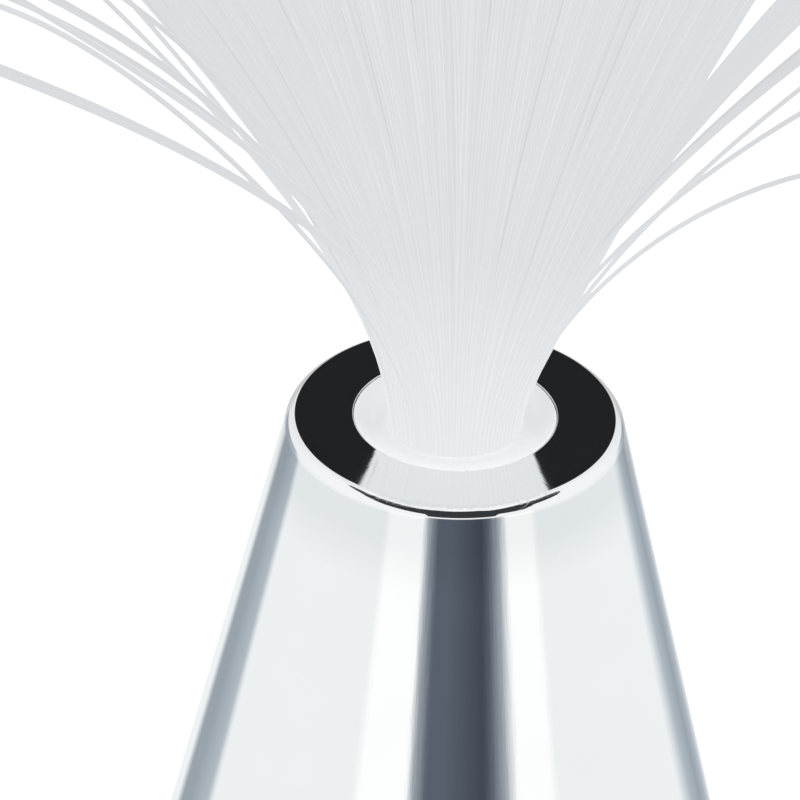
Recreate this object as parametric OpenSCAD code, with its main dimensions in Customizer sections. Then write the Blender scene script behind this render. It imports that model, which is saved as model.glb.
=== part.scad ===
// Fibre optic lamp: a polished conical base with a lift-out head of light fibres.
// Millimetres, +Z up. The origin is on the table, under the middle of the base.

/* [Cone shell] */
// Height of the conical shell
cone_h = 118; // [100:1:140]
// Outer diameter at the shell's bottom edge
base_d = 98.5; // [96:0.5:120]
// Diameter where the sloping wall would meet the flat top
neck_d = 41.8; // [40:0.2:46]
// Rounding between the flat top and the sloping wall
edge_r = 2; // [1.2:0.1:2.4]
// Slope at which the rounding leaves the flat top, in degrees
edge_tilt = 20; // [5:1:30]
// Thickness of the shell's wall and flat top
wall_t = 2; // [1.6:0.1:2.4]
// Diameter of the mouth in the flat top
mouth_d = 25.5; // [24.5:0.1:26.5]

/* [Stance] */
// Height of the shell's bottom edge above the table
shell_lift = 2; // [1.5:0.1:4]
// Depth of the base plate's underside above the shell's bottom edge
plate_inset = 1; // [0.5:0.1:2]
// Diameter of a rubber foot
foot_d = 9; // [7:0.5:9]
// Distance of a foot's middle in from the shell's bottom edge
foot_inset = 10.25; // [9:0.25:11]
// Depth of the seat that locates a foot
foot_seat = 0.6; // [0.3:0.1:1]

/* [Base plate] */
// Thickness of the base plate
plate_t = 3; // [3:0.1:4]
// Distance of a base screw from the middle of the lamp
base_screw_ring_r = 40; // [39:0.5:41]
// Diameter of a screw boss inside the shell
boss_d = 6.8; // [5.6:0.2:7.2]
// Height of a screw boss inside the shell
boss_h = 24; // [16:1:30]
// Thickness of the rib that ties a boss to the wall
rib_t = 1.6; // [1.2:0.1:2.4]

/* [Batteries] */
// Diameter of a cell
cell_d = 14.5; // [14.2:0.1:14.5]
// Length of a cell with its button
cell_l = 50.5; // [49.5:0.1:50.5]
// Diameter of a cell's button
button_d = 5.5; // [4:0.1:5.5]
// Length of a cell's button
button_h = 1.2; // [1:0.1:1.6]
// Space between neighbouring cells
cell_gap = 0.5; // [0.3:0.1:1]
// Thickness of the battery bay's walls
bay_wall = 2.4; // [2:0.1:2.8]
// Thickness of a contact plate
contact_t = 0.5; // [0.3:0.1:0.6]
// Length of a pressed-in contact spring
spring_l = 4.6; // [4:0.1:5.5]
// Diameter of the spring wire
spring_wire_d = 0.7; // [0.5:0.1:0.9]

/* [Battery door] */
// Thickness of the battery door and diameter of its hinge fingers
door_t = 2.4; // [2:0.1:2.6]
// Width of the door's lip under the bay's walls
door_lip = 1.2; // [0.8:0.1:1.6]
// Width of a hinge finger
finger_w = 8; // [5:0.5:12]
// Distance of a hinge finger from the middle of the door
finger_x = 14; // [10:0.5:18]
// Length of the tongue that the door screw holds
tongue_l = 8.4; // [7.5:0.1:8.8]
// Width of the tongue
tongue_w = 10; // [8:0.5:12]

/* [Switch] */
// Distance of the switch's middle in from the shell's bottom edge
switch_inset = 13.75; // [12.5:0.25:15]
// Length of the switch's case
switch_l = 12; // [11:0.5:14]
// Width of the switch's case
switch_w = 6; // [5:0.2:6.4]
// Height of the switch's case
switch_h = 6; // [5:0.5:9]
// Travel of the knob between off and on
switch_travel = 4; // [2.5:0.5:4]
// Height of the knob below the base plate
knob_proud = 1.2; // [0.6:0.1:1.4]

/* [Socket and light unit] */
// Wall of the socket tube round the ferrule
socket_wall = 2.1; // [1.8:0.1:2.4]
// Depth of the flange's top below the flat top of the shell
flange_depth = 26; // [24:1:30]
// Thickness of the socket's flange
flange_t = 2; // [1.6:0.1:3]
// Distance of a flange screw from the lamp's axis
flange_screw_r = 21; // [20:0.5:21.5]
// Diameter of the round circuit board
board_d = 38.4; // [38:0.2:42]
// Thickness of the circuit board
board_t = 1.6; // [1:0.2:2]
// Distance of a board screw from the lamp's axis
board_screw_r = 16.4; // [16:0.1:16.6]
// Diameter of a light-emitting diode
led_d = 5; // [4.5:0.1:5]
// Height of a light-emitting diode above its board
led_h = 8.6; // [7.6:0.1:9]
// Distance of a light-emitting diode from the lamp's axis
led_ring_r = 4.4; // [3.8:0.1:5]
// Thickness of the reflector cup
cup_t = 0.8; // [0.6:0.1:1.2]

/* [Fibre head] */
// Diameter of the bundle of fibres in the ferrule
bundle_d = 16.9; // [16.5:0.1:17.2]
// Depth of the ferrule's wide collar in the mouth
collar_h = 16; // [12:0.5:18]
// Length of the ferrule's narrow nose under the collar
nose_h = 7; // [5:0.5:9]
// Wall of the nose round the bundle
nose_wall = 2.4; // [1.6:0.1:2.6]
// Length of the crimp ring at the bundle's lower end
ring_h = 3; // [2:0.5:4]
// Depth of the dish in the ferrule's face
dish = 0.8; // [0.4:0.1:1.2]

/* [Fibre spray] */
// Length of a fibre beyond the ferrule
fibre_l = 196; // [150:1:215]
// Diameter of a fibre as modelled
fibre_d = 0.6; // [0.5:0.02:0.62]
// Lean of the outermost fibres where they leave the ferrule, in degrees
fibre_lean = 5; // [3:0.5:8]
// Further lean that the fibres spring to just above the ferrule, in degrees
fibre_splay = 23; // [14:0.5:26]
// Further lean that their own weight bends the outermost fibres to, in degrees
fibre_sag = 60; // [30:1:70]

/* [Screws] */
// Diameter of the base screws' and flange screws' shanks
screw_d = 2.6; // [2.2:0.1:2.8]
// Length of a base screw or flange screw under its head
screw_l = 9; // [7:0.5:12]
// Diameter of the small screws' shanks
small_screw_d = 1.8; // [1.4:0.1:2]
// Length of a small screw under its head
small_screw_l = 5; // [4:0.5:6]
// Length of the battery door's screw under its head
door_screw_l = 5; // [4.5:0.5:5.5]

/* [Clearances] */
// Clearance between pieces that are dropped in or slid together
fit_gap = 0.3; // [0.2:0.05:0.4]
// Clearance round a screw, a lead or a piece pushed home
snug_gap = 0.05; // [0.02:0.01:0.08]
// Clearance of the battery door and its screw
door_gap = 0.4; // [0.3:0.05:0.5]

/* [Hidden] */
$fn = 96;
eps = 0.01;

// The cone's outline
cone_z = shell_lift;
top_z = cone_z + cone_h;
base_r = base_d / 2;
neck_r = neck_d / 2;
mouth_r = mouth_d / 2;
cone_slope = (base_r - neck_r) / cone_h;
cone_angle = atan(cone_slope);
function cone_r(z) = neck_r + cone_slope * (top_z - z);
edge_drop = edge_r * cos(edge_tilt);
edge_centre = [cone_r(top_z - edge_drop) - edge_r / cos(cone_angle), top_z - edge_drop];
edge_steps = 6;

// The base plate and what stands on it
plate_z = cone_z + plate_inset;
plate_top = plate_z + plate_t;
foot_ring_r = base_r - foot_inset;
foot_angle = 32;
foot_angles = [foot_angle, 180 - foot_angle, 180 + foot_angle, -foot_angle];
base_screw_angle = 72;
base_screw_angles = [base_screw_angle, 180 - base_screw_angle, 180 + base_screw_angle, -base_screw_angle];
head_ratio = 1.75;
head_h_ratio = 0.62;
shell_skin = 0.8;

// The battery bay: three cells side by side along Y
cell_count = 3;
cell_r = cell_d / 2;
cell_pitch = cell_d + cell_gap;
bay_x = cell_count * cell_pitch / 2 + cell_gap / 2;
bay_l = cell_l + spring_l + 2 * contact_t + 2 * cell_gap;
bay_y = bay_l / 2;
door_top = plate_z + door_t;
bay_floor = door_top + snug_gap;
cell_z = bay_floor + door_gap + cell_r;
bay_roof = cell_z + cell_r + door_gap;
bay_lid = bay_roof + bay_wall;
contact_h = 2 * cell_r;
contact_w = 10;
contact_z = cell_z - contact_h / 2;
tab_w = 2.4;
tab_out = 1.8;
tab_z = cell_z + 4;

// The door turns on round fingers at its rear edge, at -Y
door_x = bay_x + door_lip;
door_y = bay_y + door_lip;
hinge_y = -(door_y + door_t / 2 + door_gap);
hinge_z = plate_z + door_t / 2;
hinge_play = 0.15;
hinge_relief = 0.3;
door_screw_y = door_y + tongue_l - tongue_w / 2;
tongue_roof = 2.5;
door_post_d = 7;
door_post_foot_d = 13;
door_screw_post_h = 5;
grip_count = 3;

// The slide switch
switch_x = base_r - switch_inset;
switch_frame_t = 0.5;
switch_frame_l = 20;
switch_screw_y = 8;
knob_stem = [2.4, 2.6];
knob_carriage = [3.6, 4.2, 1.6];
switch_frame_z = plate_top;
switch_case_z = switch_frame_z + switch_frame_t;
terminal_h = 2.5;
terminal_y = 3;

// The socket and the light unit, from the flat top down
ledge_z = top_z - collar_h;
collar_r = mouth_r - fit_gap;
bundle_r = bundle_d / 2;
bundle_bore_r = bundle_r + snug_gap;
nose_r = bundle_bore_r + nose_wall;
nose_z = ledge_z - nose_h;
ring_z = nose_z - ring_h;
ring_r = bundle_bore_r + 1.1;
socket_r = mouth_r + socket_wall;
socket_bore_r = nose_r + fit_gap;
socket_top = top_z - wall_t;
flange_z = top_z - flange_depth - flange_t;
flange_r = flange_screw_r + 3.6;
flange_post_d = 6;
flange_angles = [30, 150, 270];
board_angles = [90, 210, 330];
board_top = ring_z - led_h - 0.9;
board_z = board_top - board_t;
chamber_r = socket_r - 2.4;
led_angles = [90, 210, 330];
led_flange = 0.45;
lead_d = 0.5;
lead_spread = 1.27;
ear_d = 4.8;

// The spray: fibres on a sunflower spiral, each bent in its own upright plane
spray_slice = 2;
spray_face = top_z - dish;
slice_z = spray_face - spray_slice;
golden = 137.508;
spiral_count = 280;
rim_margin = 0.05;
rim_spacing = 0.78;
stray_r = bundle_r - fibre_d / 2 - rim_margin;
spiral_r = stray_r - rim_spacing;
splay_l = 14;
sag_l = 200;
sag_power = 3;
sag_middle = 10;
stray_rise = 0.97;
stray_power = 1.5;
// Strays at the rim: direction, splay and sag of each, in degrees
strays = [
    [205, 23, 104], [212, 19, 117], [227, 28, 72], [233, 26, 58], [239, 25, 58],
    [322, 23, 104], [328, 26, 124], [344, 27, 65], [350, 21, 112],
    [0, 20, 96], [90, 20, 96], [180, 20, 96], [270, 20, 96],
    [34, 24, 84], [62, 22, 104], [76, 23, 88], [118, 22, 100], [146, 24, 82],
    [160, 34, 57], [168, 33, 29]];
stations = [0, 0.1, 0.45, 0.75, 1];
inner_stations = [0, 0.2, 0.65, 1];
stray_stations = [0, 0.1, 0.26, 0.46, 0.72, 1];
inner_share = 0.45;
walk_steps = 24;
strand_sides = 3;

// ---------- shared shapes ----------

module ring_of(angles, r) {
    for (a = angles)
        rotate([0, 0, a]) translate([r, 0, 0]) children();
}

// A pan-head screw: its head's underside is at z = 0 and its shank points up
module screw_up(d, l) {
    head_r = d * head_ratio / 2;
    head_h = d * head_h_ratio;
    difference() {
        union() {
            cylinder(r = d / 2, h = l);
            translate([0, 0, -head_h]) rotate_extrude() screw_head_profile(head_r, head_h);
        }
        translate([0, 0, -head_h - eps]) cross_slot(d * 1.1, d * 0.22, head_h * 0.5);
    }
}

module screw_head_profile(head_r, head_h) {
    polygon([[0, 0], [head_r * 0.7, 0], [head_r * 0.92, head_h * 0.2], [head_r, head_h * 0.5],
        [head_r, head_h], [0, head_h]]);
}

module cross_slot(l, w, h) {
    for (a = [0, 90])
        rotate([0, 0, a]) translate([-l / 2, -w / 2, 0]) cube([l, w, h]);
}

module rounded_rect(x, y, r) {
    translate([-x / 2 + r, -y / 2]) square([x - 2 * r, y]);
    translate([-x / 2, -y / 2 + r]) square([x, y - 2 * r]);
    for (i = [-1, 1], j = [-1, 1])
        translate([i * (x / 2 - r), j * (y / 2 - r)]) circle(r = r, $fn = 32);
}

// ---------- the cone shell ----------

function edge_arc(inset) = [for (i = [0 : edge_steps])
    let (a = cone_angle + (90 - edge_tilt - cone_angle) * i / edge_steps)
    edge_centre + (edge_r - inset) * [cos(a), sin(a)]];

// The solid inside the cone's outer surface, drawn in by inset
module cone_solid(inset) {
    rotate_extrude()
        polygon(concat([[0, cone_z], [base_r - inset, cone_z]], edge_arc(inset), [[0, top_z - inset]]));
}

module cone_hollow() {
    rotate_extrude()
        polygon([[0, cone_z - 1], [cone_r(cone_z - 1) - wall_t, cone_z - 1],
            [cone_r(socket_top) - wall_t, socket_top], [0, socket_top]]);
}

module base_bosses() {
    ring_of(base_screw_angles, base_screw_ring_r) {
        translate([0, 0, plate_top]) cylinder(d = boss_d, h = boss_h);
        translate([0, -rib_t / 2, plate_top]) cube([base_r - base_screw_ring_r, rib_t, boss_h]);
    }
}

module flange_posts() {
    ring_of(flange_angles, flange_screw_r)
        translate([0, 0, flange_z + flange_t]) cylinder(d = flange_post_d, h = top_z - flange_z - flange_t);
}

module cone_shell() {
    color("silver")
        difference() {
            union() {
                difference() {
                    cone_solid(0);
                    cone_hollow();
                }
                intersection() {
                    union() {
                        base_bosses();
                        flange_posts();
                    }
                    cone_solid(shell_skin);
                }
            }
            translate([0, 0, socket_top - eps]) cylinder(r = mouth_r, h = wall_t + 1);
            translate([0, 0, socket_top - collar_h]) cylinder(r = socket_r + fit_gap, h = collar_h);
            ring_of(base_screw_angles, base_screw_ring_r)
                translate([0, 0, plate_top - eps]) cylinder(r = screw_d / 2 + snug_gap, h = screw_l + 1);
            ring_of(flange_angles, flange_screw_r)
                translate([0, 0, flange_z + flange_t - eps])
                    cylinder(r = screw_d / 2 + snug_gap, h = screw_l);
        }
}

// ---------- the base plate, its feet and screws ----------

module plate_disc() {
    rotate_extrude()
        polygon([[0, plate_z], [cone_r(plate_z) - wall_t - fit_gap, plate_z],
            [cone_r(plate_top) - wall_t - fit_gap, plate_top], [0, plate_top]]);
}

// The battery door's outline, grown by g
module door_outline(g) {
    rounded_rect(2 * (door_x + g), 2 * (door_y + g), 2);
    translate([-tongue_w / 2 - g, 0]) square([tongue_w + 2 * g, door_screw_y]);
    translate([0, door_screw_y]) circle(d = tongue_w + 2 * g);
}

module finger_pockets() {
    pocket_r = door_t / 2 + hinge_play;
    for (i = [-1, 1])
        translate([i * finger_x - finger_w / 2 - door_gap, hinge_y, 0]) {
            translate([0, 0, hinge_z]) rotate([0, 90, 0])
                cylinder(r = pocket_r, h = finger_w + 2 * door_gap, $fn = 48);
            translate([0, 0, plate_z - 1])
                cube([finger_w + 2 * door_gap, 2 * door_t, door_t + hinge_play + 1]);
        }
}

module switch_slot() {
    translate([switch_x - knob_stem[0] / 2 - fit_gap, -switch_travel / 2 - knob_stem[1] / 2 - fit_gap, 0])
        cube([knob_stem[0] + 2 * fit_gap, switch_travel + knob_stem[1] + 2 * fit_gap, plate_top + 1]);
}

module tab_slots() {
    for (i = [-1, 1])
        translate([i * cell_pitch - tab_w / 2 - fit_gap, i > 0 ? bay_y - 1 : -bay_y - bay_wall - 1,
            tab_z - contact_t / 2 - fit_gap])
            cube([tab_w + 2 * fit_gap, bay_wall + 2, contact_t + 2 * fit_gap]);
}

module base_plate() {
    head_r = screw_d * head_ratio / 2;
    head_h = screw_d * head_h_ratio;
    color("#202124")
        difference() {
            union() {
                plate_disc();
                translate([0, 0, bay_floor]) linear_extrude(bay_lid - bay_floor)
                    rounded_rect(2 * (bay_x + bay_wall), 2 * (bay_y + bay_wall), 2);
                translate([0, door_screw_y, plate_z])
                    cylinder(d = door_post_foot_d, h = door_t + tongue_roof);
                translate([0, door_screw_y, plate_z])
                    cylinder(d = door_post_d, h = door_t + tongue_roof + door_screw_post_h);
            }
            translate([0, 0, plate_z - 1]) linear_extrude(bay_floor - plate_z + 1) door_outline(door_gap);
            translate([-door_x, -door_y - door_gap - hinge_relief, plate_z - 1])
                cube([2 * door_x, door_y, bay_floor - plate_z + 1]);
            translate([-bay_x, -bay_y, plate_z - 1]) cube([2 * bay_x, 2 * bay_y, bay_roof - plate_z + 1]);
            finger_pockets();
            tab_slots();
            switch_slot();
            translate([0, door_screw_y, plate_z])
                cylinder(r = screw_d / 2 + door_gap, h = door_screw_l + door_t);
            ring_of(base_screw_angles, base_screw_ring_r) {
                translate([0, 0, plate_z - 1]) cylinder(r = screw_d / 2 + 2 * snug_gap, h = plate_t + 2);
                translate([0, 0, plate_z - 1]) cylinder(r = head_r + fit_gap, h = head_h + 1);
            }
            ring_of(foot_angles, foot_ring_r)
                translate([0, 0, plate_z - 1]) cylinder(d = foot_d + 2 * snug_gap, h = foot_seat + 1);
            for (i = [-1, 1])
                translate([switch_x, i * switch_screw_y, plate_top - small_screw_l])
                    cylinder(r = small_screw_d / 2 + snug_gap, h = small_screw_l + 1);
        }
}

module rubber_feet() {
    foot_h = plate_z + foot_seat;
    color("#2b2b2b")
        ring_of(foot_angles, foot_ring_r)
            rotate_extrude()
                polygon([[0, 0], [foot_d / 2 - 0.6, 0], [foot_d / 2 - 0.2, 0.2], [foot_d / 2, 0.6],
                    [foot_d / 2, foot_h], [0, foot_h]]);
}

module base_screws() {
    color("lightgrey")
        ring_of(base_screw_angles, base_screw_ring_r)
            translate([0, 0, plate_z + screw_d * head_h_ratio]) screw_up(screw_d, screw_l);
}

// ---------- the cells and their contacts ----------

// The cells lie along Y; the outer ones point to +Y and the middle one to -Y
function cell_sign(i) = i == 0 ? -1 : 1;

module cell(i) {
    translate([i * cell_pitch, cell_sign(i) * (bay_y - contact_t - cell_gap), cell_z])
        rotate([cell_sign(i) * 90, 0, 0]) rotate_extrude()
            polygon([[0, 0], [button_d / 2 - 0.3, 0], [button_d / 2, 0.3], [button_d / 2, button_h],
                [cell_r - 1, button_h], [cell_r - 0.4, button_h + 0.2], [cell_r, button_h + 0.8],
                [cell_r, cell_l - 0.6], [cell_r - 0.5, cell_l - 0.1], [cell_r - 1.1, cell_l],
                [cell_r - 1.6, cell_l - 0.3], [0, cell_l - 0.3]]);
}

module battery_1() { color("#3c7d4a") cell(-1); }
module battery_2() { color("#3c7d4a") cell(0); }
module battery_3() { color("#3c7d4a") cell(1); }

function circle_ring(c, u, v, r, sides) = [for (k = [0 : sides - 1]) c + r * (cos(360 * k / sides) * u
    + sin(360 * k / sides) * v)];

// A closed tube through the points, with two side directions for each point
module tube(points, us, vs, r, sides) {
    n = len(points);
    polyhedron(
        points = [for (i = [0 : n - 1]) each circle_ring(points[i], us[i], vs[i], r, sides)],
        faces = concat(
            [[for (k = [0 : sides - 1]) k]],
            [for (i = [0 : n - 2], k = [0 : sides - 1])
                let (a = i * sides + k, b = i * sides + (k + 1) % sides)
                each [[a, b + sides, b], [a, a + sides, b + sides]]],
            [[for (k = [0 : sides - 1]) n * sides - 1 - k]]));
}

// A tapered contact spring, wound about +Y from y = 0
module contact_spring() {
    turns = 3.25;
    per_turn = 10;
    n = round(turns * per_turn);
    wide_r = 4.6;
    narrow_r = 2.6;
    coil_l = spring_l - spring_wire_d - 0.3;
    pts = [for (i = [0 : n]) let (t = i / n, a = 360 * turns * t, r = wide_r + (narrow_r - wide_r) * t)
        [r * cos(a), spring_wire_d / 2 + 0.05 + coil_l * t, r * sin(a)]];
    us = [for (i = [0 : n]) let (a = 360 * turns * i / n) [cos(a), 0, sin(a)]];
    vs = [for (i = [0 : n]) [0, 1, 0]];
    tube(pts, us, vs, spring_wire_d / 2, 4);
}

module battery_springs() {
    color("lightgrey")
        for (i = [-1, 0, 1])
            translate([i * cell_pitch, -cell_sign(i) * (bay_y - contact_t), cell_z])
                rotate([0, 0, cell_sign(i) > 0 ? 0 : 180]) contact_spring();
}

// One contact plate at an end of the bay, from cell i to cell j
module contact(i, j, y_sign) {
    x0 = i * cell_pitch - contact_w / 2;
    x1 = j * cell_pitch + contact_w / 2;
    y0 = y_sign > 0 ? bay_y - contact_t : -bay_y;
    translate([x0, y0, contact_z + 1]) cube([x1 - x0, contact_t, contact_h - 2]);
}

module solder_tab(i, y_sign) {
    tab_l = bay_wall + tab_out + contact_t;
    translate([i * cell_pitch - tab_w / 2, y_sign > 0 ? bay_y - contact_t : -bay_y - bay_wall - tab_out,
        tab_z - contact_t / 2])
        cube([tab_w, tab_l, contact_t]);
}

module contact_plates() {
    color("gainsboro") {
        contact(-1, 0, 1);
        union() {
            contact(1, 1, 1);
            solder_tab(1, 1);
        }
        contact(0, 1, -1);
        union() {
            contact(-1, -1, -1);
            solder_tab(-1, -1);
        }
    }
}

// ---------- the battery door ----------

module door_fingers() {
    for (i = [-1, 1])
        translate([i * finger_x - finger_w / 2, hinge_y, 0]) {
            translate([0, 0, hinge_z]) rotate([0, 90, 0]) cylinder(d = door_t, h = finger_w, $fn = 48);
            translate([0, 0, plate_z]) cube([finger_w, door_t + door_gap, door_t]);
        }
}

module battery_door() {
    head_r = screw_d * head_ratio / 2;
    head_h = screw_d * head_h_ratio;
    grip_l = tongue_w * 0.9;
    color("#26272a")
        difference() {
            union() {
                translate([0, 0, plate_z]) linear_extrude(door_t) door_outline(0);
                door_fingers();
            }
            translate([0, door_screw_y, plate_z - 1]) cylinder(r = screw_d / 2 + snug_gap, h = door_t + 2);
            translate([0, door_screw_y, plate_z - 1]) cylinder(r = head_r + snug_gap, h = head_h + 1);
            for (k = [0 : grip_count - 1])
                translate([-grip_l / 2, door_y - 4 - 2.4 * k, plate_z - eps]) cube([grip_l, 1.2, 0.6]);
        }
}

module door_screw() {
    color("lightgrey")
        translate([0, door_screw_y, plate_z + screw_d * head_h_ratio]) screw_up(screw_d, door_screw_l);
}

// ---------- the slide switch ----------

module switch_frame() {
    color("gainsboro")
        difference() {
            translate([switch_x, 0, switch_frame_z]) linear_extrude(switch_frame_t)
                rounded_rect(switch_w, switch_frame_l, 1.5);
            translate([0, 0, switch_frame_z - 1]) switch_slot();
            for (i = [-1, 1])
                translate([switch_x, i * switch_screw_y, switch_frame_z - 1])
                    cylinder(r = small_screw_d / 2 + snug_gap, h = switch_frame_t + 2);
        }
}

module switch_case() {
    pocket = [knob_carriage[0] + 2 * fit_gap, knob_carriage[1] + switch_travel + 2 * fit_gap];
    color("#1d1d1f") {
        difference() {
            translate([switch_x - switch_w / 2, -switch_l / 2, switch_case_z])
                cube([switch_w, switch_l, switch_h]);
            translate([switch_x - pocket[0] / 2, -pocket[1] / 2, switch_case_z - eps])
                cube([pocket[0], pocket[1], knob_carriage[2] + fit_gap]);
        }
        for (i = [-1, 0, 1])
            translate([switch_x - 0.9, i * terminal_y - 0.25, switch_case_z + switch_h])
                cube([1.8, 0.5, terminal_h]);
    }
}

module switch_screws() {
    color("lightgrey")
        for (i = [-1, 1])
            translate([switch_x, i * switch_screw_y, switch_case_z]) rotate([180, 0, 0])
                screw_up(small_screw_d, small_screw_l - switch_frame_t);
}

// The knob, at its off end
module switch_knob() {
    stem_h = knob_proud + plate_t + switch_frame_t;
    carriage_z = switch_case_z + snug_gap;
    color("ivory")
        translate([switch_x, -switch_travel / 2, 0]) {
            translate([-knob_carriage[0] / 2, -knob_carriage[1] / 2, carriage_z]) cube(knob_carriage);
            difference() {
                translate([-knob_stem[0] / 2, -knob_stem[1] / 2, plate_z - knob_proud])
                    cube([knob_stem[0], knob_stem[1], stem_h + 2 * snug_gap]);
                for (k = [-1, 0, 1])
                    translate([-knob_stem[0], k * 0.8 - 0.2, plate_z - knob_proud - eps])
                        cube([2 * knob_stem[0], 0.4, 0.3]);
            }
        }
}

// ---------- the socket and the light unit ----------

module socket_tube() {
    ear_top = flange_z + eps;
    color("whitesmoke")
        difference() {
            union() {
                translate([0, 0, board_top]) cylinder(r = socket_r, h = socket_top - board_top);
                translate([0, 0, flange_z]) cylinder(r = flange_r, h = flange_t);
                ring_of(board_angles, board_screw_r)
                    translate([0, 0, board_top]) cylinder(d = ear_d, h = ear_top - board_top);
            }
            translate([0, 0, ledge_z - snug_gap]) cylinder(r = mouth_r, h = collar_h);
            translate([0, 0, board_top - 1]) cylinder(r = socket_bore_r, h = top_z - board_top);
            translate([0, 0, board_top - 1]) cylinder(r = chamber_r, h = flange_z - board_top + 1);
            ring_of(flange_angles, flange_screw_r)
                translate([0, 0, flange_z - 1]) cylinder(r = screw_d / 2 + 2 * snug_gap, h = flange_t + 2);
            ring_of(board_angles, board_screw_r)
                translate([0, 0, board_top - eps])
                    cylinder(r = small_screw_d / 2 + snug_gap, h = small_screw_l);
        }
}

module flange_screws() {
    color("lightgrey")
        ring_of(flange_angles, flange_screw_r)
            translate([0, 0, flange_z]) screw_up(screw_d, screw_l);
}

module reflector_cup() {
    foot_r = chamber_r - fit_gap;
    rim_r = bundle_r + 0.6;
    rim_z = ring_z - fit_gap;
    color("white")
        rotate_extrude()
            polygon([[foot_r - 1.2, board_top], [foot_r, board_top], [foot_r, board_top + cup_t],
                [foot_r - 1.2 + cup_t, board_top + 1.5 * cup_t], [rim_r + cup_t, rim_z], [rim_r, rim_z]]);
}

module circuit_board() {
    color("#2f6b3d")
        difference() {
            translate([0, 0, board_z]) cylinder(d = board_d, h = board_t);
            ring_of(board_angles, board_screw_r)
                translate([0, 0, board_z - 1]) cylinder(r = small_screw_d / 2 + snug_gap, h = board_t + 2);
            ring_of(led_angles, led_ring_r) led_pins(2 * snug_gap);
        }
}

module board_screws() {
    color("lightgrey")
        ring_of(board_angles, board_screw_r)
            translate([0, 0, board_z]) screw_up(small_screw_d, small_screw_l);
}

module led_pins(g) {
    for (i = [-1, 1])
        translate([0, i * lead_spread, board_z - 1.4])
            cylinder(r = lead_d / 2 + g, h = board_t + 1.5, $fn = 24);
}

module led(a) {
    r = led_d / 2;
    rotate([0, 0, a]) translate([led_ring_r, 0, 0]) {
        translate([0, 0, board_top]) {
            cylinder(r = r + led_flange, h = 1);
            cylinder(r = r, h = led_h - r);
            translate([0, 0, led_h - r]) sphere(r = r);
        }
        led_pins(0);
    }
}

module red_led() { color("#d83a3a") led(led_angles[0]); }
module green_led() { color("#39b45a") led(led_angles[1]); }
module blue_led() { color("#3a66d8") led(led_angles[2]); }

chip = [6.2, 5, 1.6];
chip_y = -8;
module driver_chip() {
    color("#1b1b1b")
        translate([0, chip_y, board_z - chip[2]]) {
            translate([-chip[0] / 2, -chip[1] / 2, 0]) cube(chip);
            for (i = [-1, 1], j = [-1.5 : 1 : 1.5])
                translate([i * (chip[0] / 2 + 0.4) - 0.6, j * 1.27 - 0.2, chip[2] - 0.35])
                    cube([1.2, 0.4, 0.35]);
        }
}

module resistors() {
    color("#c9a36a")
        for (i = [-1, 0, 1])
            translate([10 + i * 2.6, 5.5, board_z - 0.65]) cube([1.3, 2.6, 1.3], center = true);
}

// ---------- the inner wires ----------

// Hand-placed points along each wire, from the battery bay up to the board
wire_d = 1.2;
wire_sides = 6;
switch_top = switch_case_z + switch_h + terminal_h;
tab_end = bay_y + bay_wall + tab_out - 0.9;
wire_z = bay_lid + wire_d;
wire_top = board_z - 0.7;
wire_climb = board_z - bay_lid;
wire_wall_gap = 3;
// A point beside the shell's wall, at this height and in this direction
function by_wall(z, a) = let (r = cone_r(z) - wall_t - wire_wall_gap) [r * cos(a), r * sin(a), z];
wire_routes = [
    [[cell_pitch, tab_end, tab_z + 1], [cell_pitch, tab_end, wire_z], by_wall(wire_z + 4, 55),
        [switch_x - 3, 14, wire_z + 4], [switch_x, terminal_y + 0.5, wire_z],
        [switch_x, terminal_y, switch_top + 0.7]],
    [[switch_x, 0, switch_top + 0.7], [switch_x - 1, 0, wire_z], [28, -3, bay_lid + 0.28 * wire_climb],
        [17, -4, bay_lid + 0.62 * wire_climb], [14, -4, board_z - 9], [14, -4, wire_top]],
    [[-cell_pitch, -tab_end, tab_z + 1], [-cell_pitch, -tab_end, wire_z],
        [-19, -27, wire_z + 8], [-19, -12, bay_lid + 0.52 * wire_climb],
        [-14, -4, board_z - 11], [-14, -4, wire_top]]];
wire_steps = 4;

function spline(p0, p1, p2, p3, t) = 0.5 * (2 * p1 + (p2 - p0) * t
    + (2 * p0 - 5 * p1 + 4 * p2 - p3) * t * t + (3 * p1 - p0 - 3 * p2 + p3) * t * t * t);
function clampi(i, n) = max(0, min(n - 1, i));
function smooth(p) = let (n = len(p)) [for (k = [0 : (n - 1) * wire_steps])
    let (i = min(floor(k / wire_steps), n - 2), t = k / wire_steps - i)
    spline(p[clampi(i - 1, n)], p[i], p[i + 1], p[clampi(i + 2, n)], t)];
function unit(v) = v / norm(v);
function side_dir(d) = unit(cross(d, abs(d[1]) < 0.9 ? [0, 1, 0] : [1, 0, 0]));

module wire(route) {
    pts = smooth(route);
    n = len(pts);
    dirs = [for (i = [0 : n - 1]) unit(pts[clampi(i + 1, n)] - pts[clampi(i - 1, n)])];
    us = [for (d = dirs) side_dir(d)];
    vs = [for (i = [0 : n - 1]) cross(dirs[i], us[i])];
    tube(pts, us, vs, wire_d / 2, wire_sides);
}

module lead_wires() {
    color("firebrick")
        for (route = wire_routes) wire(route);
}

// ---------- the fibre head ----------

module ferrule() {
    rim = 0.3;
    color("whitesmoke")
        rotate_extrude()
            polygon([[bundle_bore_r, nose_z], [nose_r, nose_z], [nose_r, ledge_z], [collar_r, ledge_z],
                [collar_r, top_z - rim], [collar_r - rim, top_z], [bundle_bore_r + 1.2, spray_face + 0.2],
                [bundle_bore_r, spray_face]]);
}

module fibre_bundle() {
    color("gainsboro")
        translate([0, 0, ring_z]) cylinder(r = bundle_r, h = slice_z - ring_z);
}

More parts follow.
